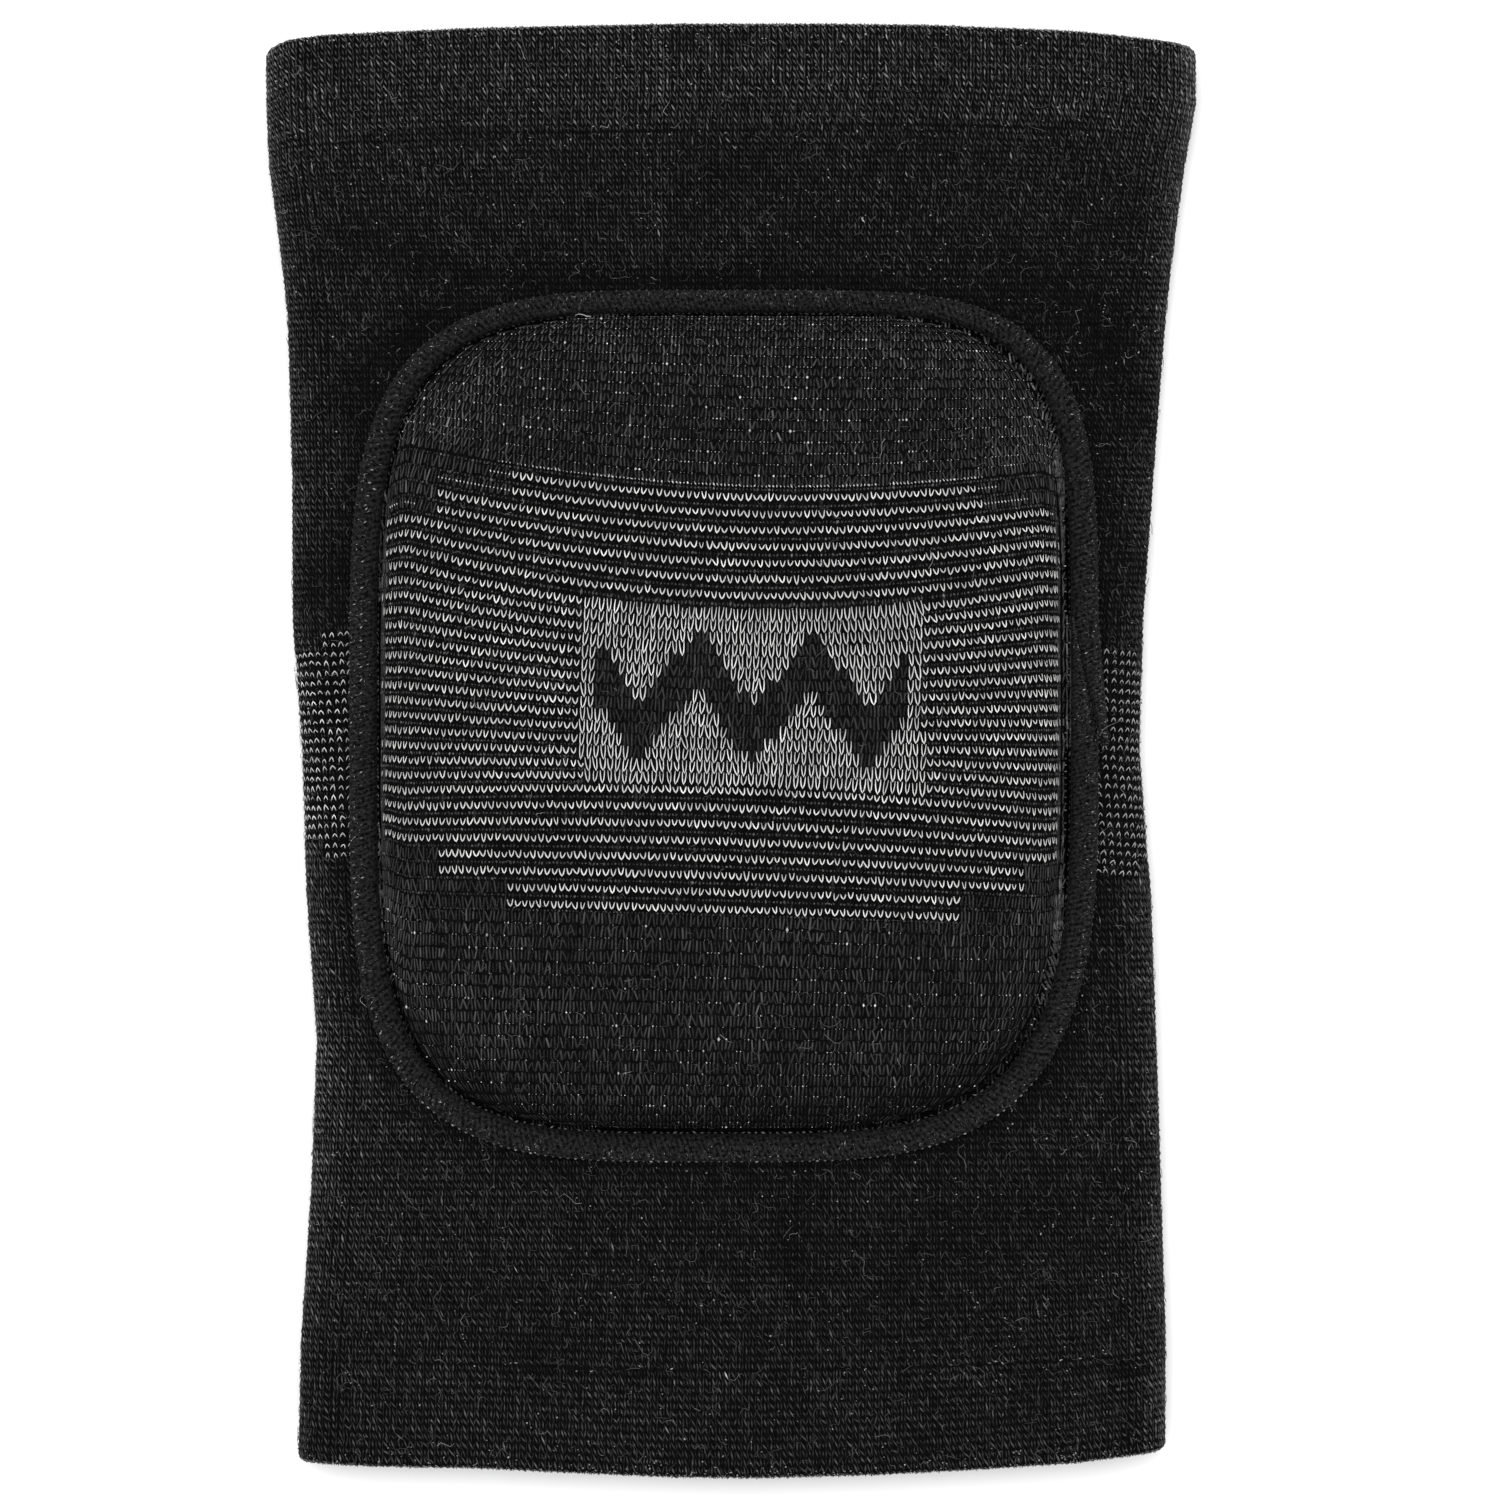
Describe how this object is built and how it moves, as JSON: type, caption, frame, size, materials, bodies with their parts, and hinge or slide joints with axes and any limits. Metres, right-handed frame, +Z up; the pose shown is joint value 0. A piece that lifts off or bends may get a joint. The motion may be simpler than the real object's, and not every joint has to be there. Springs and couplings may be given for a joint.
{
  "type": "knee pad",
  "caption": "Pull-on knitted knee sleeve with turned hems and a thick foam pad under a ribbed, striped knit cover bound with tape.",
  "frame": {"origin": "middle of the flat sleeve, on the surface that its back rests on", "axes": "+X across the knee, +Y along the leg towards the wide thigh mouth, +Z up out of the pad"},
  "size_m": [0.1664, 0.26, 0.0283],
  "materials": {
    "sleeve_knit": "matt black elastic rib knit",
    "foam": "soft closed-cell foam, hidden",
    "cover_knit": "matt black ribbed knit with white stripes",
    "binding_tape": "fine matt black tape"
  },
  "bodies": {
    "root": {"sleeve": "sleeve_knit", "foam_pad": "foam", "pad_cover": "cover_knit", "edge_binding": "binding_tape"}
  },
  "joints": []
}
